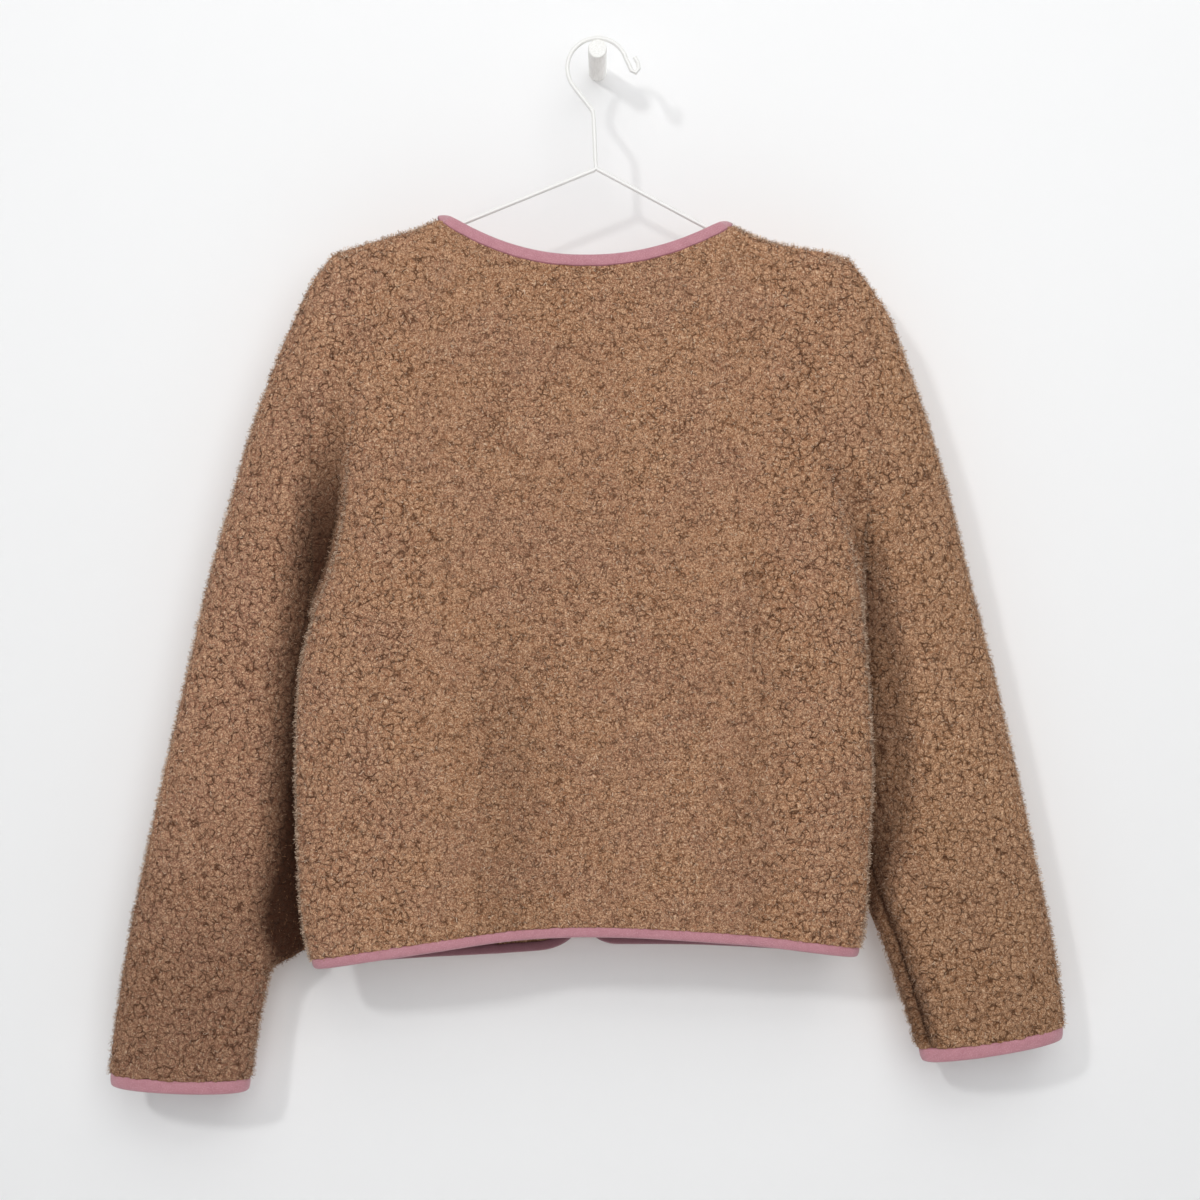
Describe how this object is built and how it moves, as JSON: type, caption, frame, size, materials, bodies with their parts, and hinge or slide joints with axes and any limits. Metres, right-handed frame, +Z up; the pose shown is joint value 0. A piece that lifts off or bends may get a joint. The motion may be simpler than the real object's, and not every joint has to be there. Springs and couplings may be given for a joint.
{
  "type": "pile jacket on a wire hanger and wall peg",
  "caption": "Collarless open-front pile jacket with bound neck, fronts, hems and cuffs, hung back outwards on a wire hanger from a round wall peg.",
  "frame": {"origin": "centre of the peg's flat end, where it stands on the wall", "axes": "+Y into the wall, +Z up; the jacket's back faces -Y and its two fronts face the wall"},
  "size_m": [0.7215, 0.0903, 0.7956],
  "materials": {
    "pile": "matte curly wool pile",
    "binding": "matte ribbed knit",
    "wire": "satin white coat",
    "peg": "matte white paint"
  },
  "bodies": {
    "root": {"back": "pile", "front_left": "pile", "front_right": "pile", "sleeve_left": "pile", "sleeve_right": "pile", "binding_neck": "binding", "binding_hem_back": "binding", "binding_front_left": "binding", "binding_front_right": "binding", "binding_cuff_left": "binding", "binding_cuff_right": "binding", "hanger": "wire", "wall_peg": "peg"}
  },
  "joints": []
}
